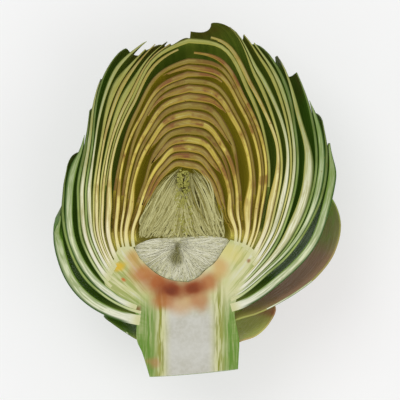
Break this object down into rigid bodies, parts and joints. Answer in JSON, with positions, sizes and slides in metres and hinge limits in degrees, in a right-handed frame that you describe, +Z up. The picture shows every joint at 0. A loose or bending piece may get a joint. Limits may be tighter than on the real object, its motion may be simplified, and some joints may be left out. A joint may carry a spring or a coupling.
{
  "type": "halved globe artichoke",
  "caption": "Globe artichoke head cut in half from stem to tip, lying on its rounded back with the cut face up: overlapping bracts, heart, choke and florets.",
  "frame": {"origin": "centre of the bounding box on the surface that the half lies on", "axes": "+Y runs along the head's axis from the stem to the tip, +X to the right across the cut face, +Z up, out of the cut face"},
  "size_m": [0.0924, 0.114, 0.0454],
  "materials": {
    "bract_green": "smooth waxy leaf skin, dark green outside, pale and moist where it is cut",
    "bract_purple": "waxy leaf skin, brown purple over green",
    "heart_flesh": "moist cut flesh, cream, browned round the choke, green skin on the stem",
    "choke_hair": "fine pale silky hairs",
    "floret_flesh": "soft young florets, yellow green"
  },
  "bodies": {
    "root": {"bract_01": "bract_green", "bract_02": "bract_green", "bract_03": "bract_green", "bract_04": "bract_green", "bract_05": "bract_green", "bract_06": "bract_green", "bract_07": "bract_green", "bract_08": "bract_green", "bract_09": "bract_green", "bract_10": "bract_green", "bract_11": "bract_green", "bract_12": "bract_green", "bract_13": "bract_green", "bract_14": "bract_green", "bract_15": "bract_green", "bract_16": "bract_green", "bract_17": "bract_green", "bract_18": "bract_green", "bract_19": "bract_green", "bract_20": "bract_green", "bract_21": "bract_green", "bract_22": "bract_green", "bract_23": "bract_green", "bract_24": "bract_green", "bract_25": "bract_green", "bract_26": "bract_green", "bract_27": "bract_green", "bract_28": "bract_green", "bract_29": "bract_green", "bract_30": "bract_green", "bract_31": "bract_green", "bract_32": "bract_green", "bract_33": "bract_green", "bract_low_back": "bract_green", "bract_low_left": "bract_green", "bract_low_right": "bract_green", "bract_spread_right": "bract_purple", "choke": "choke_hair", "florets": "floret_flesh", "heart_and_stem": "heart_flesh"}
  },
  "joints": []
}
